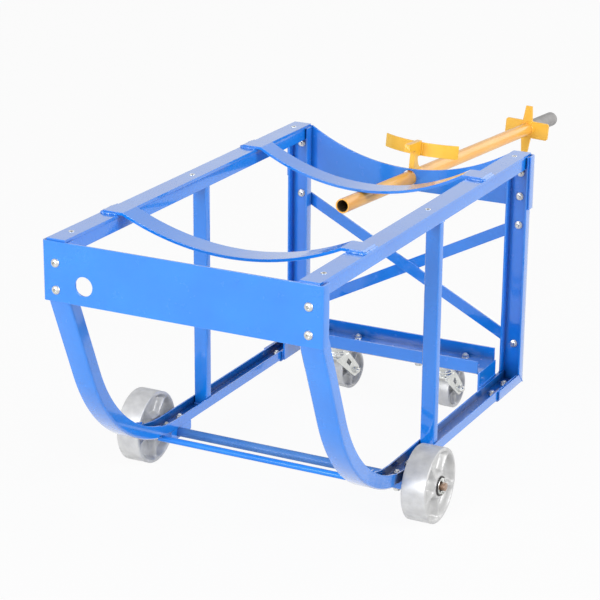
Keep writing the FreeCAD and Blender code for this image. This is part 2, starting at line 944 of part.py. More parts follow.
def front_plate_bolts():
    bolts = []
    for row in (bolt_row_top, bolt_row_low):
        base = vec(side_centre, 0, row)
        bolts += pair(bolt(plate_wall + channel_wall, base, back, dome_head()))
    return Part.makeCompound(bolts)


def rear_plate_bolts():
    bolts = []
    for row in (bolt_row_top, bolt_row_low):
        base = vec(side_centre, frame_length, row)
        bolts += pair(bolt(plate_wall + channel_wall, base, -back))
    return Part.makeCompound(bolts)


def brace_bolts():
    bolts = []
    for end in brace_ends(rear_inside + brace_thick):
        bolts.append(bolt(brace_thick + channel_wall, end, -back))
        base = vec(-end.x, end.y + brace_thick, end.z)
        bolts.append(bolt(2 * brace_thick + channel_wall, base, -back))
    return Part.makeCompound(bolts)


def foot_bolts():
    bolts = []
    for place in foot_bolt_places():
        base = vec(side_centre, place, runner_height)
        bolts += pair(bolt(rail_inset + rail_wall, base, up))
    return Part.makeCompound(bolts)


def bracket_bolts():
    bolts = []
    radius = sweep_radius - rail_inset - rail_wall
    for place in bracket_bolt_places():
        base = vec(side_centre, place, bracket_low)
        ahead = max(sweep_centre.y - place + bolt_corner, 0)
        lift = radius - math.sqrt(radius ** 2 - ahead ** 2)
        bolts += pair(bolt(rail_floor + lift - bracket_low, base, up))
    return Part.makeCompound(bolts)


def caster_bolts():
    low = carrier_height - caster_plate_thick
    grip = caster_plate_thick + carrier_wall
    bolts = [bolt(grip, vec(side, place, low), up) for side, place in caster_bolt_places()]
    return Part.makeCompound(bolts)


# The whole part, node by node

def sided_nodes():
    makers = {
        "front_leg": front_leg,
        "bottom_rail": bottom_rail,
        "rear_post": rear_post,
        "rear_foot": rear_foot,
        "top_rail": top_rail,
        "top_cap": top_cap,
        "mid_post": mid_post,
        "caster_stand": caster_stand,
        "axle_bracket": bracket,
        "front_wheel": front_wheel,
    }
    nodes = {}
    for name, make in makers.items():
        right = make()
        nodes[name + "_right"] = right
        nodes[name + "_left"] = mirrored(right)
    return nodes


def caster_nodes():
    makers = {
        "caster_plate": caster_plate,
        "caster_fork": caster_fork,
        "caster_wheel": caster_wheel,
        "caster_axle": caster_axle,
    }
    nodes = {}
    for name, make in makers.items():
        shape = make()
        turns = (0, 0) if name == "caster_plate" else (right_caster_turn, left_caster_turn)
        nodes[name + "_right"] = placed_caster(shape, caster_side, turns[0])
        nodes[name + "_left"] = placed_caster(shape, -caster_side, turns[1])
    return nodes


def single_nodes():
    return {
        "front_plate": front_plate(),
        "rear_plate": rear_plate(),
        "saddle_strap_front": saddle_strap(front_strap_place, front_strap_sag),
        "saddle_strap_rear": rear_strap(),
        "brace_falling": falling_brace(),
        "brace_rising": rising_brace(),
        "brace_spacers": brace_spacers(),
        "caster_channel": caster_channel(),
        "axle": axle(),
        "axle_sleeve": axle_sleeve(),
        "tie_bar": tie_bar(),
        "front_plate_bolts": front_plate_bolts(),
        "rear_plate_bolts": rear_plate_bolts(),
        "brace_bolts": brace_bolts(),
        "foot_bolts": foot_bolts(),
        "bracket_bolts": bracket_bolts(),
        "caster_bolts": caster_bolts(),
        "lever_tube": stored(lever_tube()),
        "lever_grip": stored(lever_grip()),
        "wrench_star": stored(wrench_star()),
        "lever_hook": stored(lever_hook()),
        "chime_plate": stored(chime_plate()),
    }


nodes = {**single_nodes(), **sided_nodes(), **caster_nodes()}

# The frame leans back about the axle until the casters, which are set a little high, stand on the floor
caster_run = caster_place + caster_trail - axle_place
caster_fall = wheel_radius - caster_wheel_radius - carrier_height + caster_height
caster_reach = math.hypot(caster_run, caster_fall)
lean = math.asin((wheel_radius - caster_wheel_radius) / caster_reach) - math.atan2(caster_fall, caster_run)
axle_point = vec(0, axle_place, wheel_radius)
standing = {}
for name, shape in nodes.items():
    standing[name] = shape.copy()
    standing[name].rotate(axle_point, across, -math.degrees(lean))

# The origin lies on the floor under the middle of the overall length
foremost = standing["front_plate_bolts"].optimalBoundingBox().YMin
rearmost = standing["lever_grip"].optimalBoundingBox().YMax
middle = (foremost + rearmost) / 2

os.makedirs("parts", exist_ok=True)
for name, shape in standing.items():
    moved(shape, back * -middle).exportStep("parts/" + name + ".step")
print("lean in degrees", round(math.degrees(lean), 4), "middle behind the front plate", round(middle, 3))
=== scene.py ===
import json
import math

import bmesh
import bpy
from mathutils import Matrix, Vector, noise


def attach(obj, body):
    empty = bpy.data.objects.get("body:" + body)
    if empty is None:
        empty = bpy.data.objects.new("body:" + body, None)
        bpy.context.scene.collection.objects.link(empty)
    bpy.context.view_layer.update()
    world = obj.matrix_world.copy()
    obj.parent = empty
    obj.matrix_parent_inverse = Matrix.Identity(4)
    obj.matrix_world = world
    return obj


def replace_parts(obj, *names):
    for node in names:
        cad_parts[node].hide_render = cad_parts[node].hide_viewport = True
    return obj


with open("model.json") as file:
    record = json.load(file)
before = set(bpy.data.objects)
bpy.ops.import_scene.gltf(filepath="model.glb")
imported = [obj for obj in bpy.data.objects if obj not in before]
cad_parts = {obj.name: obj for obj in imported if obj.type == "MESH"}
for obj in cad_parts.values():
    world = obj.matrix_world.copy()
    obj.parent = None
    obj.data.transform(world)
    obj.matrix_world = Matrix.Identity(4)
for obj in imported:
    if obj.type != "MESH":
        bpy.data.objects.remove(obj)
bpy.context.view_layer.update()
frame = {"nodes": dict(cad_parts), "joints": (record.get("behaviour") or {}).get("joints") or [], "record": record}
nodes = frame["nodes"]
subparts = frame["record"]["subparts"]
joints = {joint["name"]: joint for joint in frame["joints"]}

# Sizes of the part that the details sit on, in metres and radians

frame_height = 0.602
side_centre = 0.262
side_inner = 0.238
side_outer = 0.286
axle_place = 0.410152
wheel_radius = 0.0762
wheel_outer = 0.347
cap_hole_places = (0.057, 0.508, 0.959)
strap_places = (0.188, 0.747)
strap_width = 0.051
strap_tab_start = 0.243
strap_tab_end = 0.279
brace_plane = 1.008
brace_half_width = 0.0125
brace_high = 0.440
brace_low = 0.16945
mid_post_place = 0.535
mid_post_half = 0.0155
mid_post_depth = 0.018
mid_post_low = 0.08925
mid_post_high = 0.570
tie_bar_place = 0.34565
tie_bar_height = 0.0844
tie_bar_inner = 0.2423
tie_bar_end = 0.2523
rear_corner_back = 1.004
rear_corner_low = 0.08145
channel_depth = 0.025
stand_front = 0.867
stand_back = 0.959
stand_inner = 0.2335
carrier_bottom = 0.136
caster_side = 0.130
caster_place = 0.913
caster_cup_low = 0.118
caster_race_low = 0.1049
lever_hole_place = 1.006
lever_height = 0.5079
lever_radius = 0.0155
lever_roll = math.radians(3)
hook_front = 0.004
hook_foot = 0.048
hook_half = 0.006
hook_tail = 0.036
chime_low = 0.0475
chime_high = 0.075
star_place = 0.708
star_thick = 0.006

# Sizes of the bolts; a profile lists pairs of radius and height

bolt_flats = 0.013
bolt_radius = 0.004
caster_axle_radius = 0.005
bolt_stub = 0.003
hex_head = 0.0053
chamfer_share = 0.48
chamfer_slope = math.tan(math.radians(30))
nut_height = 0.0065
washer_radius = 0.0085
washer_thick = 0.0014
washer_play = 0.0003
washer_rim_share = 0.25
thread_pitch = 0.00125
thread_depth = 0.0005
dome_head = 0.005
dome_profile = (
    (0.009, 0.0), (0.0089, 0.0008), (0.0084, 0.0021), (0.0073, 0.0034), (0.0056, 0.0045), (0.0042, 0.005),
)
socket_flats = 0.0068
socket_depth = 0.004

# Sizes of the cast wheels

wheel_ribs = 5
rib_drop = 0.003
wheel_edge = 0.002
wheel_edge_shares = (0.3, 0.7, 1.0)
front_wheel_sizes = {
    "radius": wheel_radius, "width": 0.051, "rim": 0.006, "hub": 0.0235, "rib": 0.004, "depth": 0.015,
    "fillet": 0.0085, "bore": 0.00805, "boss": 0.021, "boss_step": 0.0,
}
caster_wheel_sizes = {
    "radius": 0.0445, "width": 0.032, "rim": 0.0045, "hub": 0.0125, "rib": 0.003, "depth": 0.01,
    "fillet": 0.005, "bore": 0.00505, "boss": 0.011, "boss_step": 0.004,
}

# Sizes of the weld beads; the shares are of a bead's radius

weld_radius = 0.003
small_weld_radius = 0.0022
mitre_weld_radius = 0.0012
weld_sink = 0.0008
tie_bar_weld_shift = 0.0046
weld_step_share = 0.45
ripple_height_share = 0.06
ripple_length_share = 1.5
wander_share = 0.3
wander_rate = 0.35
weld_tip_steps = 0.3
star_weld_seed = 5

# Sizes of the rings, pins, and the dark cup of painted shade in the lever's bore; the shares are of a pin's reach

bearing_profile = (
    (0.0086, -0.0005), (0.02, -0.0005), (0.02, 0.002), (0.0195, 0.0025), (0.0176, 0.0025),
    (0.0172, 0.0018), (0.0118, 0.0018), (0.0114, 0.0005), (0.0086, 0.0005),
)
race_profile = (
    (0.0115, 0.0016), (0.0165, 0.0016), (0.0165, 0.0028), (0.0161, 0.0032), (0.0119, 0.0032),
    (0.0115, 0.0028),
)
insert_profile = (
    (0.0034, -0.009), (0.0039, -0.009), (0.0039, 0.0), (0.0056, 0.0), (0.0056, 0.0005),
    (0.0052, 0.0008), (0.0039, 0.0008), (0.0034, 0.0003),
)
cup_profile = (
    (0.026, 0.0), (0.0274, 0.0), (0.0282, 0.001), (0.0282, 0.003), (0.0274, 0.004),
    (0.0274, 0.0128), (0.026, 0.0128),
)
swivel_profile = (
    (0.024, 0.0), (0.0252, 0.0), (0.0256, 0.002), (0.0256, 0.0048), (0.0249, 0.0058),
    (0.0256, 0.0068), (0.0256, 0.0108), (0.025, 0.0122), (0.024, 0.0122),
)
# A dark cup closed deep inside the lever's bore: painted shade in place of the shadow inside the open tube
shade_liner_profile = (
    (0.0002, 0.3), (0.0124, 0.3), (0.0124, 0.0), (0.0121, 0.0), (0.0121, 0.299), (0.0002, 0.299),
)
shade_liner_start = 0.0015
cotter_radius = 0.0015
cotter_place = 0.354
cotter_reach = 0.013
cotter_splay_share = 0.5
cotter_tip_share = 0.25
cotter_bend_share = 0.125
cotter_leg_shares = (0.15, 1.0, 1.7)
cotter_neck_share = 1.75
cotter_eye = cotter_radius * 2.2
cotter_eye_steps = 6

# Fineness of the meshes and rounding of the nodes' edges

merge_distance = 0.00001
bolt_segments = 36
round_segments = 64
weld_segments = 10
wheel_segments = 150
wheel_face_steps = 22
sharp_angle = math.radians(35)
flat_angle = math.radians(0.5)
plain_edge_round = 0.0007
grip_edge_round = 0.004
edge_round_segments = 3
edge_round_angle = math.radians(50)
crisp_round_angle = math.radians(15)
crisp_nodes = ("saddle_strap_front", "saddle_strap_rear")

# Colours and finishes

blue = {"dark": (0.002, 0.205, 0.78), "light": (0.005, 0.24, 0.86), "edge": (0.16, 0.39, 0.92)}
# Each paint's shade colour, depth and reach give painted shade in its corners and hollows; this set is shared by
# the blue paints
blue_painted_shade = {"shade_colour": (0.006, 0.07, 0.33), "shade_depth": 0.65, "shade_reach": 0.025}
paints = {
    "blue_paint": {**blue, **blue_painted_shade, "rough": 0.24, "coat": 1.0},
    "satin_blue": {**blue, **blue_painted_shade, "rough": 0.45, "coat": 0.2},
    # A copy of the blue with darker, wider-reaching painted shade, for the hollows of the rails, feet and caster
    # channel
    "rail_blue_painted_shade": {
        **blue, "shade_colour": (0.003, 0.028, 0.13), "shade_depth": 0.95, "shade_reach": 0.08,
        "rough": 0.24, "coat": 1.0,
    },
    "worn_blue": {
        "dark": (0.03, 0.17, 0.52), "light": (0.08, 0.24, 0.6), "edge": (0.28, 0.38, 0.55),
        "shade_colour": (0.006, 0.07, 0.25), "shade_depth": 0.65, "shade_reach": 0.025,
        "rough": 0.5, "coat": 0.1,
    },
    "yellow_paint": {
        "dark": (0.97, 0.5, 0.03), "light": (1.0, 0.58, 0.05), "edge": (1.0, 0.68, 0.22),
        "shade_colour": (0.85, 0.34, 0.015), "shade_depth": 0.4, "shade_reach": 0.025,
        "rough": 0.4, "coat": 0.45,
    },
    # A more orange copy of the yellow paint: painted reflected light on the lever tube
    "tube_painted_reflection": {
        "dark": (1.0, 0.45, 0.05), "light": (1.0, 0.52, 0.09), "edge": (1.0, 0.64, 0.22),
        "shade_colour": (0.95, 0.36, 0.02), "shade_depth": 0.2, "shade_reach": 0.025,
        "rough": 0.38, "coat": 0.35,
    },
}
metals = {
    "zinc": {"dark": (0.62, 0.63, 0.61), "light": (0.8, 0.81, 0.79), "rough": 0.25, "grain": 300},
    "bolt_zinc": {"dark": (0.54, 0.545, 0.53), "light": (0.76, 0.765, 0.75), "rough": 0.27, "grain": 300},
    "axle_steel": {"dark": (0.3, 0.17, 0.11), "light": (0.52, 0.4, 0.32), "rough": 0.42, "grain": 400},
    "dark_steel": {"dark": (0.03, 0.03, 0.034), "light": (0.08, 0.078, 0.078), "rough": 0.38, "grain": 500},
}
castings = {
    "cast_wheel": {"dark": (0.52, 0.52, 0.52), "light": (0.66, 0.66, 0.655), "edge": (0.86, 0.86, 0.85)},
}
rubbers = {
    "grip_rubber": {"dark": (0.3, 0.295, 0.29), "light": (0.4, 0.39, 0.385)},
    # Painted shade: the dark colour of the cup inside the lever's bore
    "tube_inside_painted_shade": {"dark": (0.1, 0.07, 0.035), "light": (0.17, 0.12, 0.06)},
}
own_finishes = {
    # The tube takes the more orange copy of the yellow, painted reflected light
    "lever_tube": "tube_painted_reflection",
    "tie_bar": "satin_blue",
    "axle_sleeve": "worn_blue",
    # The caster channel, bottom rails and rear feet take the copy of the blue with deeper painted shade
    "caster_channel": "rail_blue_painted_shade",
    "bottom_rail_left": "rail_blue_painted_shade",
    "bottom_rail_right": "rail_blue_painted_shade",
    "rear_foot_left": "rail_blue_painted_shade",
    "rear_foot_right": "rail_blue_painted_shade",
}

# Studio: floor, lamps and camera

white = (1, 1, 1, 1)
floor_half = 30.0
floor_colour = (0.7, 0.7, 0.7, 1)
floor_rough = 0.9
floor_specular = 0.1
floor_white_share = 0.94
ambient_light = 0.28
lamps = (
    {"name": "key", "place": (-1.4, -7.4, 2.6), "target": (0, 0, 0.35), "size": 4.2, "power": 430},
    {"name": "side", "place": (6.3, -1.4, 3.2), "target": (0, 0, 0.3), "size": 3.9, "power": 300},
    {"name": "rear", "place": (2.5, 6.5, 3.5), "target": (0, 0.2, 0.3), "size": 6.0, "power": 110},
)
camera_place = (1.84658, -4.05672, 1.85459)
camera_degrees = (69.9726, 0.1748, 27.11)
camera_lens = 128.698
camera_sensor = 36.0

# Directions and places of the leaning frame and of the stored lever

across = Vector((1, 0, 0))
up = Vector(joints["right_caster_swivel"]["axis"])
back = up.cross(across)
axle_middle = Vector((0, *joints["right_wheel_spin"]["pos_m"][1:]))
slide = Vector(joints["lever_slide"]["axis"])
lever_rise = across.cross(slide)
lever_across = across * math.cos(lever_roll) - lever_rise * math.sin(lever_roll)
lever_up = across * math.sin(lever_roll) + lever_rise * math.cos(lever_roll)


def on_frame(x, y, z):
    """A point of the frame: across, back from the front plate, and up from the floor before it leans."""
    return axle_middle + across * x + back * (y - axle_place) + up * (z - wheel_radius)


def on_lever(x, y, z):
    """A point of the lever, from where its axis crosses the rear plate."""
    return on_frame(0, lever_hole_place, lever_height) + lever_across * x + slide * y + lever_up * z


# Shader nodes

def start_material(name):
    material = bpy.data.materials.new(name)
    material.use_nodes = True
    tree = material.node_tree
    return material, tree, tree.nodes["Principled BSDF"]


def add_node(tree, kind, **settings):
    node = tree.nodes.new(kind)
    for key, value in settings.items():
        setattr(node, key, value)
    return node


def object_noise(tree, scale, detail, stretch=(1, 1, 1)):
    """A noise fixed to the piece, with its scale in waves per metre."""
    place = add_node(tree, "ShaderNodeTexCoord")
    mapping = add_node(tree, "ShaderNodeMapping")
    mapping.inputs["Scale"].default_value = stretch
    texture = add_node(tree, "ShaderNodeTexNoise")
    texture.inputs["Scale"].default_value = scale
    texture.inputs["Detail"].default_value = detail
    tree.links.new(place.outputs["Object"], mapping.inputs["Vector"])
    tree.links.new(mapping.outputs["Vector"], texture.inputs["Vector"])
    return texture.outputs["Fac"]


def two_tone(tree, source, dark, light, start=0.3, stop=0.7):
    """Dark where the source is below start, light where it is above stop, and a blend between."""
    node = add_node(tree, "ShaderNodeValToRGB")
    for element, place, colour in zip(node.color_ramp.elements, (start, stop), (dark, light)):
        element.position = place
        element.color = (*colour, 1)
    tree.links.new(source, node.inputs["Fac"])
    return node.outputs["Color"]


def spread(tree, source, low, high, start=0.0, stop=1.0):
    """Goes from low to high as the source goes from start to stop."""
    node = add_node(tree, "ShaderNodeMapRange")
    node.inputs["From Min"].default_value = start
    node.inputs["From Max"].default_value = stop
    node.inputs["To Min"].default_value = low
    node.inputs["To Max"].default_value = high
    tree.links.new(source, node.inputs["Value"])
    return node.outputs["Result"]


def product(tree, first, second):
    node = add_node(tree, "ShaderNodeMath", operation="MULTIPLY")
    tree.links.new(first, node.inputs[0])
    tree.links.new(second, node.inputs[1])
    return node.outputs["Value"]


def edge_mask(tree, radius, strength):
    """Up to the strength on outer edges and corners, 0 on flats."""
    bevel = add_node(tree, "ShaderNodeBevel", samples=4)
    bevel.inputs["Radius"].default_value = radius
    geometry = add_node(tree, "ShaderNodeNewGeometry")
    turn = add_node(tree, "ShaderNodeVectorMath", operation="DOT_PRODUCT")
    tree.links.new(bevel.outputs["Normal"], turn.inputs[0])
    tree.links.new(geometry.outputs["Normal"], turn.inputs[1])
    return spread(tree, turn.outputs["Value"], low=strength, high=0.0, start=0.75, stop=0.99)


def painted_shade_mask(tree, reach, strength):
    """Painted shade: up to the strength in corners and gaps that are narrower than the reach, 0 in the open."""
    shade = add_node(tree, "ShaderNodeAmbientOcclusion", samples=16)
    shade.inputs["Distance"].default_value = reach
    return spread(tree, shade.outputs["AO"], low=strength, high=0.0, start=0.2, stop=0.85)


def mix_colours(tree, share, first, second):
    node = add_node(tree, "ShaderNodeMix", data_type="RGBA")
    tree.links.new(share, node.inputs["Factor"])
    tree.links.new(first, node.inputs["A"])
    node.inputs["B"].default_value = (*second, 1)
    return node.outputs["Result"]


def add_bump(tree, shader, height, distance, strength):
    node = add_node(tree, "ShaderNodeBump")
    node.inputs["Distance"].default_value = distance
    node.inputs["Strength"].default_value = strength
    tree.links.new(height, node.inputs["Height"])
    tree.links.new(node.outputs["Normal"], shader.inputs["Normal"])


# Materials

def paint_material(name, dark, light, edge, shade_colour, shade_depth, shade_reach, rough, coat):
    """Glossy enamel: cloudy colour, orange peel, pale edges that are partly wear and partly a painted highlight, a
    few scuffs, and painted shade in corners and hollows, where the coat is also thinned.
    """
    material, tree, shader = start_material(name)
    colour = two_tone(tree, object_noise(tree, scale=9, detail=3), dark, light)
    chips = spread(tree, object_noise(tree, scale=35, detail=5), low=0.0, high=1.0, start=0.35, stop=0.7)
    # Pale edges: partly wear, thin paint and chips, and partly a painted highlight along the edges
    worn_and_highlit = product(tree, edge_mask(tree, radius=0.0015, strength=0.55), chips)
    colour = mix_colours(tree, worn_and_highlit, colour, edge)
    area = spread(tree, object_noise(tree, scale=16, detail=2), low=0.0, high=0.35, start=0.62, stop=0.72)
    scratches = object_noise(tree, scale=260, detail=5, stretch=(1, 1, 0.2))
    scuff = product(tree, area, spread(tree, scratches, low=0.0, high=1.0, start=0.62, stop=0.7))
    colour = mix_colours(tree, scuff, colour, edge)
    # Painted shade: the colour is darkened towards the shade colour in corners and hollows, where shade falls
    painted_shade = painted_shade_mask(tree, shade_reach, shade_depth)
    colour = mix_colours(tree, painted_shade, colour, shade_colour)
    tree.links.new(colour, shader.inputs["Base Color"])
    smear = spread(tree, object_noise(tree, scale=40, detail=4), low=rough - 0.07, high=rough + 0.09)
    tree.links.new(smear, shader.inputs["Roughness"])
    add_bump(tree, shader, object_noise(tree, scale=320, detail=2), distance=0.0004, strength=0.06)
    shader.inputs["Specular IOR Level"].default_value = 0.45
    # Painted shade: the coat is taken away where the painted shade lies, so hollows show no pale reflection
    tree.links.new(spread(tree, painted_shade, low=coat, high=0.0), shader.inputs["Coat Weight"])
    shader.inputs["Coat Roughness"].default_value = 0.07
    shader.inputs["Coat IOR"].default_value = 1.6
    return material


def metal_material(name, dark, light, rough, grain):
    """Bare or plated metal with a cloudy colour and a fine grain."""
    material, tree, shader = start_material(name)
    shader.inputs["Metallic"].default_value = 1.0
    colour = two_tone(tree, object_noise(tree, scale=60, detail=4), dark, light)
    tree.links.new(colour, shader.inputs["Base Color"])
    specks = object_noise(tree, scale=grain, detail=3)
    tree.links.new(spread(tree, specks, low=rough - 0.08, high=rough + 0.1), shader.inputs["Roughness"])
    add_bump(tree, shader, specks, distance=0.0002, strength=0.25)
    return material


def cast_material(name, dark, light, edge):
    """Bright cast metal: blotchy, sandy, and polished a little on its edges."""
    material, tree, shader = start_material(name)
    shader.inputs["Metallic"].default_value = 0.25
    colour = two_tone(tree, object_noise(tree, scale=55, detail=5), dark, light, start=0.32, stop=0.68)
    colour = mix_colours(tree, edge_mask(tree, radius=0.002, strength=0.35), colour, edge)
    tree.links.new(colour, shader.inputs["Base Color"])
    sand = object_noise(tree, scale=700, detail=4)
    tree.links.new(spread(tree, sand, low=0.3, high=0.52), shader.inputs["Roughness"])
    add_bump(tree, shader, sand, distance=0.0006, strength=0.3)
    return material


def rubber_material(name, dark, light):
    """A dull, fine-grained skin."""
    material, tree, shader = start_material(name)
    colour = two_tone(tree, object_noise(tree, scale=30, detail=3), dark, light)
    tree.links.new(colour, shader.inputs["Base Color"])
    sand = object_noise(tree, scale=900, detail=3)
    tree.links.new(spread(tree, sand, low=0.5, high=0.7), shader.inputs["Roughness"])
    add_bump(tree, shader, sand, distance=0.0004, strength=0.3)
    return material


materials = {}
for make_material, finishes in (
    (paint_material, paints),
    (metal_material, metals),
    (cast_material, castings),
    (rubber_material, rubbers),
):
    for name, finish in finishes.items():
        materials[name] = make_material(name, **finish)


# The nodes of the part: materials and rounded edges

for entry in subparts:
    name = entry["node"]
    slot = entry["material_slot"]
    node = nodes[name]
    node.data.materials.clear()
    node.data.materials.append(materials[own_finishes.get(name, slot)])
    weld = node.modifiers.new("weld", "WELD")
    weld.merge_threshold = merge_distance
    flatten = node.modifiers.new("flatten", "DECIMATE")
    flatten.decimate_type = "DISSOLVE"
    flatten.angle_limit = flat_angle
    bevel = node.modifiers.new("bevel", "BEVEL")
    bevel.width = grip_edge_round if slot == "grip_rubber" else plain_edge_round
    bevel.segments = edge_round_segments
    bevel.limit_method = "ANGLE"
    bevel.angle_limit = crisp_round_angle if name in crisp_nodes else edge_round_angle
    bevel.use_clamp_overlap = True
    soften = node.modifiers.new("soften", "WEIGHTED_NORMAL")
    soften.keep_sharp = False


# Mesh drafts: a list of points and a list of faces

def add_rings(draft, rings, closed=False):
    """Joins rings of points into a skin, with its ends capped unless it closes on itself."""
    points, faces = draft
    first = len(points)
    count = len(rings[0])
    for row in rings:
        points.extend(row)
    levels = len(rings) if closed else len(rings) - 1
    for level in range(levels):
        here = first + level * count
        there = first + (level + 1) % len(rings) * count
        for step in range(count):
            ahead = (step + 1) % count
            faces.append((here + step, here + ahead, there + ahead, there + step))
    if not closed:
        faces.append(tuple(range(first, first + count)))
        faces.append(tuple(range(first + levels * count, first + (levels + 1) * count)))


def add_object(name, data):
    item = bpy.data.objects.new(name, data)
    bpy.context.scene.collection.objects.link(item)
    return item


def make_piece(name, draft, body, slot, finish=None):
    """A smooth piece that rides on a body, with the finish of its slot unless it has one of its own."""
    points, faces = draft
    mesh = bpy.data.meshes.new(name)
    mesh.from_pydata(points, [], faces)
    shape = bmesh.new()
    shape.from_mesh(mesh)
    bmesh.ops.recalc_face_normals(shape, faces=shape.faces)
    shape.to_mesh(mesh)
    shape.free()
    for face in mesh.polygons:
        face.use_smooth = True
    mesh.set_sharp_from_angle(angle=sharp_angle)
    mesh.materials.append(materials[finish or slot])
    piece = add_object(name, mesh)
    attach(piece, body)
    return piece


def placing(base, axis, side=None):
    """The matrix that takes the local Z axis to an axis through a base point, and X to any given side."""
    side = side or axis.orthogonal().normalized()
    return Matrix.Translation(base) @ Matrix((side, axis.cross(side), axis)).transposed().to_4x4()


def placings_along(path):
    """A placing at each point of a path, with its Z axis along the path."""
    places = []
    for index, middle in enumerate(path):
        before = path[max(index - 1, 0)]
        after = path[min(index + 1, len(path) - 1)]
        places.append(placing(middle, (after - before).normalized()))
    return places


def ring(place, count, radius_at, height_at):
    """Points round the Z axis of a placing, with a radius and a height for each angle."""
    points = []
    for step in range(count):
        angle = 2 * math.pi * step / count
        radius = radius_at(angle)
        local = Vector((radius * math.cos(angle), radius * math.sin(angle), height_at(angle)))
        points.append(place @ local)
    return points


def round_ring(place, count, radius, height):
    return ring(place, count, lambda angle: radius, lambda angle: height)


def add_turned(draft, place, profile, count, closed=False):
    add_rings(draft, [round_ring(place, count, radius, height) for radius, height in profile], closed)


def islands(node):
    """The points of each separate solid of a node."""
    shape = bmesh.new()
    shape.from_mesh(nodes[node].data)
    bmesh.ops.remove_doubles(shape, verts=shape.verts, dist=merge_distance)
    groups = []
    for seed in shape.verts:
        if seed.tag:
            continue
        seed.tag = True
        waiting = [seed]
        group = []
        while waiting:
            here = waiting.pop()
            group.append(here.co.copy())
            for edge in here.link_edges:
                there = edge.other_vert(here)
                if not there.tag:
                    there.tag = True
                    waiting.append(there)
        groups.append(group)
    shape.free()
    return groups


# Bolts, one detailed group for each group of the part

def hex_radius(flats, angle):
    sixth = math.pi / 3
    return flats / 2 / math.cos((angle + sixth / 2) % sixth - sixth / 2)


def add_hex(draft, place, flats, low, high):
    """A hexagon from low to high, with the corners of its far end cut round."""
    limit = flats * chamfer_share
    slope = math.copysign(chamfer_slope, low - high)

    def outline(angle):
        return hex_radius(flats, angle)

    def cut(angle):
        return high + slope * (outline(angle) - limit)

    add_rings(draft, [
        ring(place, bolt_segments, outline, lambda angle: low),
        ring(place, bolt_segments, outline, cut),
        round_ring(place, bolt_segments, limit, high),
    ])


def add_washer(draft, place, bore, low, high):
    rim = (high - low) * washer_rim_share
    profile = (
        (bore, low), (washer_radius, low), (washer_radius, high - rim),
        (washer_radius - abs(rim), high), (bore, high),
    )
    add_turned(draft, place, profile, bolt_segments, closed=True)


def add_dome(draft, place):
    """A round head with a six-sided socket."""
    def socket(angle):
        return hex_radius(socket_flats, angle)

    rings = [round_ring(place, bolt_segments, radius, -height) for radius, height in dome_profile]
    rings.append(ring(place, bolt_segments, socket, lambda angle: -dome_head))
    rings.append(ring(place, bolt_segments, socket, lambda angle: socket_depth - dome_head))
    add_rings(draft, rings)


def add_thread(draft, place, radius, low, high):
    """A shank from low to high, with thread crests over its last part."""
    profile = [(radius, low)]
    turns = int((nut_height + bolt_stub) / thread_pitch)
    start = high - (turns + 0.5) * thread_pitch
    for turn in range(turns):
        profile.append((radius, start + turn * thread_pitch))
        profile.append((radius - thread_depth, start + (turn + 0.5) * thread_pitch))
    profile.append((radius, high - thread_pitch / 2))
    profile.append((radius - thread_depth, high))
    add_turned(draft, place, profile, bolt_segments)


def add_bolt(draft, base, axis, grip, radius, domed):
    """A bolt whose head lies before the base and whose nut lies a grip behind it."""
    place = placing(base, axis)
    bore = radius + washer_play
    if domed:
        add_dome(draft, place)
    else:
        add_washer(draft, place, bore, 0, -washer_thick)
        add_hex(draft, place, bolt_flats, -washer_thick, -hex_head - washer_thick / 2)
    nut = grip + washer_thick
    nut_end = grip + nut_height
    add_washer(draft, place, bore, grip, nut)
    add_hex(draft, place, bolt_flats, nut, nut_end)
    add_thread(draft, place, radius, 0, nut_end + bolt_stub)


def make_bolts(node, axis, body, radius=bolt_radius, domed=False):
    """Detailed bolts in the places of a node's plain ones."""
    draft = ([], [])
    head = dome_head if domed else hex_head
    for group in islands(node):
        heights = [point.dot(axis) for point in group]
        middle = sum(group, Vector()) / len(group)
        low = min(heights) + head
        base = middle + axis * (low - middle.dot(axis))
        add_bolt(draft, base, axis, max(heights) - nut_height - low, radius, domed)
    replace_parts(make_piece(node + "_detailed", draft, body, "zinc", "bolt_zinc"), node)


make_bolts("front_plate_bolts", back, "frame", domed=True)
make_bolts("rear_plate_bolts", -back, "frame")
make_bolts("brace_bolts", -back, "frame")
make_bolts("foot_bolts", up, "frame")
make_bolts("bracket_bolts", up, "frame")
make_bolts("caster_bolts", up, "frame")
for side in ("left", "right"):
    spin_axis = Vector(joints[side + "_caster_spin"]["axis"])
    make_bolts("caster_axle_" + side, spin_axis, side + "_caster_fork", radius=caster_axle_radius)


# Cast wheels with soft ribs, in place of the plain ones

def smooth_step(share):
    share = min(max(share, 0.0), 1.0)
    return share * share * (3 - 2 * share)


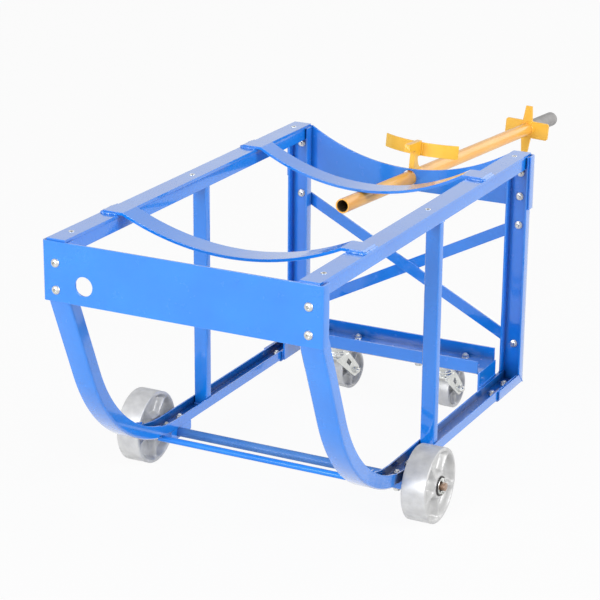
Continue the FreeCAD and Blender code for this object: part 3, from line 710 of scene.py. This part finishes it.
def add_cast_wheel(draft, place, sizes):
    """A wheel whose two faces sink between hub, rim and ribs, with a fillet along each."""
    half = sizes["width"] / 2
    fillet = sizes["fillet"]
    inner = sizes["hub"]
    outer = sizes["radius"] - sizes["rim"]
    turn = 2 * math.pi / wheel_ribs

    def face(distance, angle):
        from_rib = abs(angle % turn - turn / 2) * distance - sizes["rib"] / 2
        band = smooth_step((distance - inner) / fillet) * smooth_step((outer - distance) / fillet)
        return half - band * (rib_drop + (sizes["depth"] - rib_drop) * smooth_step(from_rib / fillet))

    def face_ring(distance, way):
        return ring(place, wheel_segments, lambda angle: distance, lambda angle: way * face(distance, angle))

    steps = range(wheel_face_steps + 1)
    distances = [inner + (outer - inner) * step / wheel_face_steps for step in steps]
    distances.append(sizes["radius"] - wheel_edge)
    hub_end = half + sizes["boss_step"]
    hub = [(sizes["bore"], hub_end), (sizes["boss"], hub_end)]
    if sizes["boss_step"]:
        hub.append((sizes["boss"], half))
    tread = []
    for share in wheel_edge_shares:
        angle = math.pi / 2 * share
        tread.append((
            sizes["radius"] - wheel_edge * (1 - math.sin(angle)),
            half - wheel_edge * (1 - math.cos(angle)),
        ))

    def side_rings(way):
        """The rings of one face, from the bore out to the tread."""
        rings = [round_ring(place, wheel_segments, radius, way * height) for radius, height in hub]
        rings += [face_ring(distance, way) for distance in distances]
        rings += [round_ring(place, wheel_segments, radius, way * height) for radius, height in tread]
        return rings

    add_rings(draft, side_rings(1) + side_rings(-1)[::-1], closed=True)


def make_wheel(node, body, joint, sizes):
    draft = ([], [])
    spin = joints[joint]
    add_cast_wheel(draft, placing(Vector(spin["pos_m"]), Vector(spin["axis"]), up), sizes)
    wheel = make_piece(node + "_detailed", draft, body, "cast_wheel")
    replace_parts(wheel, node)


for side in ("left", "right"):
    make_wheel("front_wheel_" + side, side + "_wheel", side + "_wheel_spin", front_wheel_sizes)
    make_wheel("caster_wheel_" + side, side + "_caster_wheel", side + "_caster_spin", caster_wheel_sizes)


# Weld beads

def add_weld(draft, path, radius, seed):
    """A rippled bead along a path of points, drawn in at its two ends."""
    step_length = radius * weld_step_share
    samples = []
    for start, end in zip(path, path[1:]):
        count = max(2, round((end - start).length / step_length))
        samples += [start.lerp(end, step / count) for step in range(count)]
    samples.append(path[-1])
    rings = []
    travelled = 0.0
    for index, place in enumerate(placings_along(samples)):
        travelled += (samples[index] - samples[max(index - 1, 0)]).length
        ripple = ripple_height_share * math.cos(2 * math.pi * travelled / (radius * ripple_length_share))
        wander = wander_share * noise.noise(Vector((travelled / radius * wander_rate, seed, 0)))
        steps_to_end = min(index, len(samples) - 1 - index)
        taper = min(1.0, math.sqrt((steps_to_end + weld_tip_steps) * step_length / radius))
        rings.append(round_ring(place, weld_segments, radius * taper * (1 + ripple + wander), 0))
    add_rings(draft, rings)


def strap_runs(sign, place):
    """Round the three free edges of a strap's tab on the rail cap."""
    height = frame_height + weld_sink
    inner = sign * strap_tab_start
    outer = sign * (strap_tab_end + weld_sink)
    front = place - weld_sink
    rear = place + strap_width + weld_sink
    outline = ((inner, front), (outer, front), (outer, rear), (inner, rear))
    corners = [on_frame(x, y, height) for x, y in outline]
    return list(zip(corners, corners[1:]))


def post_runs(sign):
    """Along the front and the outer side of a middle post, at its foot and at its head."""
    front = mid_post_place - weld_sink
    rear = mid_post_place + mid_post_depth
    near = sign * (side_centre - mid_post_half)
    far = sign * (side_centre + mid_post_half)
    side = sign * (side_centre + mid_post_half + weld_sink)
    runs = []
    for height in (mid_post_low + weld_sink, mid_post_high):
        runs.append((on_frame(near, front, height), on_frame(far, front, height)))
        runs.append((on_frame(side, mid_post_place, height), on_frame(side, rear, height)))
    return runs


def tie_bar_runs(sign):
    """Along both sides of the tie bar's end."""
    height = tie_bar_height + tie_bar_weld_shift
    inner = sign * tie_bar_inner
    outer = sign * tie_bar_end
    runs = []
    for place in (tie_bar_place - tie_bar_weld_shift, tie_bar_place + tie_bar_weld_shift):
        runs.append((on_frame(inner, place, height), on_frame(outer, place, height)))
    return runs


def stand_runs(sign):
    """Along a caster stand, where it meets the rear foot and where it meets the caster channel."""
    flange_top = rear_corner_low + channel_depth + weld_sink
    runs = []
    for side, height in ((side_inner, flange_top), (stand_inner, carrier_bottom)):
        runs.append((on_frame(sign * side, stand_front, height), on_frame(sign * side, stand_back, height)))
    return runs


def corner_runs(sign):
    """Along the mitre between rear post and rear foot, inside and outside."""
    runs = []
    for side in (side_inner, side_outer):
        runs.append((
            on_frame(sign * side, rear_corner_back - weld_radius, rear_corner_low + weld_radius),
            on_frame(sign * side, rear_corner_back - channel_depth, rear_corner_low + channel_depth),
        ))
    return runs


def brace_runs():
    """Along the edges of each brace where it crosses the other, in front of the joint and behind it."""
    middle = (brace_high + brace_low) / 2
    along = Vector((2 * side_centre, brace_low - brace_high)).normalized()
    aside = Vector((-along.y, along.x))
    other_aside = Vector((along.y, along.x))
    runs = []
    for sign in (-1, 1):
        edge = aside * (sign * brace_half_width)
        ends = []
        for other in (-brace_half_width, brace_half_width):
            reach = (other - edge.dot(other_aside)) / along.dot(other_aside)
            ends.append(edge + along * reach)
        for mirror, plane in ((1, brace_plane - weld_sink), (-1, brace_plane + weld_sink)):
            runs.append([on_frame(mirror * end.x, plane, middle + end.y) for end in ends])
    return runs


def frame_beads():
    """The runs of all the frame's beads, with their radii."""
    beads = []
    for sign in (-1, 1):
        for place in strap_places:
            beads += [(run, weld_radius) for run in strap_runs(sign, place)]
        small_runs = post_runs(sign) + tie_bar_runs(sign) + stand_runs(sign)
        beads += [(run, small_weld_radius) for run in small_runs]
        beads += [(run, mitre_weld_radius) for run in corner_runs(sign)]
    beads += [(run, small_weld_radius) for run in brace_runs()]
    return beads


def hook_runs():
    """Along the hook's foot on the tube and along the chime plate on the hook, on both sides."""
    height = math.sqrt(lever_radius ** 2 - hook_half ** 2) + weld_sink
    sides = [sign * (hook_half + weld_sink) for sign in (-1, 1)]
    runs = [(on_lever(side, hook_front, height), on_lever(side, hook_foot, height)) for side in sides]
    runs += [(on_lever(side, hook_tail, chime_low), on_lever(side, hook_tail, chime_high)) for side in sides]
    return runs


def star_run(place):
    """Round the tube at one face of the wrench star."""
    reach = lever_radius + weld_sink
    path = []
    for step in range(round_segments + 1):
        angle = 2 * math.pi * step / round_segments
        path.append(on_lever(reach * math.sin(angle), place, reach * math.cos(angle)))
    return path


frame_draft = ([], [])
for seed, (run, radius) in enumerate(frame_beads(), start=1):
    add_weld(frame_draft, run, radius, seed)
make_piece("frame_weld_beads", frame_draft, "frame", "blue_paint")

lever_draft = ([], [])
for seed, run in enumerate(hook_runs()):
    add_weld(lever_draft, run, small_weld_radius, seed)
star_faces = (star_place - weld_sink, star_place + star_thick + weld_sink)
for seed, place in enumerate(star_faces, start=star_weld_seed):
    add_weld(lever_draft, star_run(place), small_weld_radius, seed)
make_piece("lever_weld_beads", lever_draft, "lever", "yellow_paint")


# Hub rings, cotter pins, cap inserts, caster swivel rings, and a dark cup in the lever's bore that paints the
# shade inside the tube

def turned_piece(name, places, profile, body, slot, finish=None):
    draft = ([], [])
    for place in places:
        add_turned(draft, place, profile, round_segments, closed=True)
    make_piece(name, draft, body, slot, finish)


def add_cotter(draft, sign):
    """A split pin through the axle end: an eye above, two legs bent apart below."""
    for leg in (-1, 1):
        start = on_frame(sign * cotter_place, axle_place + leg * cotter_radius, wheel_radius - cotter_reach)
        splay = back * (leg * cotter_reach * cotter_splay_share)
        path = [start + splay - up * (cotter_reach * cotter_tip_share)]
        path.append(start - up * (cotter_reach * cotter_bend_share))
        path += [start + up * (cotter_reach * share) for share in cotter_leg_shares]
        for step in range(1, cotter_eye_steps + 1):
            angle = math.pi * step / cotter_eye_steps
            rise = cotter_reach * cotter_neck_share + cotter_eye - cotter_eye * math.cos(angle)
            aside = cotter_eye * math.sin(angle) - cotter_radius * step / cotter_eye_steps
            path.append(start + up * rise + back * (leg * aside))
        places = placings_along(path)
        add_rings(draft, [round_ring(place, weld_segments, cotter_radius, 0) for place in places])


cotter_draft = ([], [])
cap_holes = []
cups = []
for side, sign in (("left", -1), ("right", 1)):
    hub = placing(on_frame(sign * wheel_outer, axle_place, wheel_radius), across * sign)
    turned_piece("hub_bearing_" + side, [hub], bearing_profile, side + "_wheel", "cast_wheel", "dark_steel")
    turned_piece("hub_race_" + side, [hub], race_profile, side + "_wheel", "zinc")
    swivel = placing(on_frame(sign * caster_side, caster_place, caster_race_low), up)
    turned_piece("swivel_race_" + side, [swivel], swivel_profile, side + "_caster_fork", "zinc")
    add_cotter(cotter_draft, sign)
    cap_holes += [placing(on_frame(sign * side_centre, place, frame_height), up) for place in cap_hole_places]
    cups.append(placing(on_frame(sign * caster_side, caster_place, caster_cup_low), up))
make_piece("axle_cotter_pins", cotter_draft, "frame", "zinc")
turned_piece("cap_inserts", cap_holes, insert_profile, "frame", "zinc")
# The dark cup in the lever's bore is painted shade, standing for the shadow inside the tube
tube_front = min(point.dot(slide) for point in islands("lever_tube")[0]) - on_lever(0, 0, 0).dot(slide)
bore_shade_liner = placing(on_lever(0, tube_front + shade_liner_start, 0), slide)
turned_piece("bore_shade_liner", [bore_shade_liner], shade_liner_profile, "lever", "axle_steel", "tube_inside_painted_shade")
turned_piece("swivel_cups", cups, cup_profile, "frame", "zinc")


# Floor, world, lamps and camera

def background_share(tree):
    """1 for rays that show the background, 0 for rays that light the object."""
    path = add_node(tree, "ShaderNodeLightPath")
    shows = path.outputs["Is Camera Ray"]
    for name in ("Is Glossy Ray", "Is Transmission Ray"):
        join = add_node(tree, "ShaderNodeMath", operation="MAXIMUM")
        tree.links.new(shows, join.inputs[0])
        tree.links.new(path.outputs[name], join.inputs[1])
        shows = join.outputs["Value"]
    return shows


def make_floor():
    """A pale floor that shows mostly white but keeps the object's shadow."""
    material, tree, shader = start_material("floor")
    shader.inputs["Base Color"].default_value = floor_colour
    shader.inputs["Roughness"].default_value = floor_rough
    shader.inputs["Specular IOR Level"].default_value = floor_specular
    glow = add_node(tree, "ShaderNodeEmission")
    glow.inputs["Color"].default_value = white
    share = spread(tree, background_share(tree), low=0.0, high=floor_white_share)
    mix = add_node(tree, "ShaderNodeMixShader")
    tree.links.new(share, mix.inputs["Fac"])
    tree.links.new(shader.outputs["BSDF"], mix.inputs[1])
    tree.links.new(glow.outputs["Emission"], mix.inputs[2])
    tree.links.new(mix.outputs["Shader"], tree.nodes["Material Output"].inputs["Surface"])
    mesh = bpy.data.meshes.new("floor")
    corners = [(x * floor_half, y * floor_half, 0) for x, y in ((-1, -1), (1, -1), (1, 1), (-1, 1))]
    mesh.from_pydata(corners, [], [(0, 1, 2, 3)])
    mesh.materials.append(material)
    floor = add_object("floor", mesh)


def set_world():
    world = bpy.data.worlds.new("studio")
    world.use_nodes = True
    bpy.context.scene.world = world
    tree = world.node_tree
    backdrop = tree.nodes["Background"]
    backdrop.inputs["Color"].default_value = white
    strength = spread(tree, background_share(tree), low=ambient_light, high=1.0)
    tree.links.new(strength, backdrop.inputs["Strength"])


def add_lamp(name, place, target, size, power):
    lamp = bpy.data.lights.new(name, "AREA")
    lamp.shape = "DISK"
    lamp.size = size
    lamp.energy = power
    holder = add_object(name, lamp)
    holder.location = place
    holder.rotation_euler = (Vector(target) - Vector(place)).to_track_quat("-Z", "Y").to_euler()


def set_camera():
    camera = bpy.data.cameras.new("camera")
    camera.lens = camera_lens
    camera.sensor_width = camera_sensor
    holder = add_object("camera", camera)
    holder.location = camera_place
    holder.rotation_euler = [math.radians(angle) for angle in camera_degrees]
    bpy.context.scene.camera = holder


make_floor()
set_world()
for lamp in lamps:
    add_lamp(**lamp)
set_camera()
bpy.context.scene.view_settings.view_transform = "Standard"
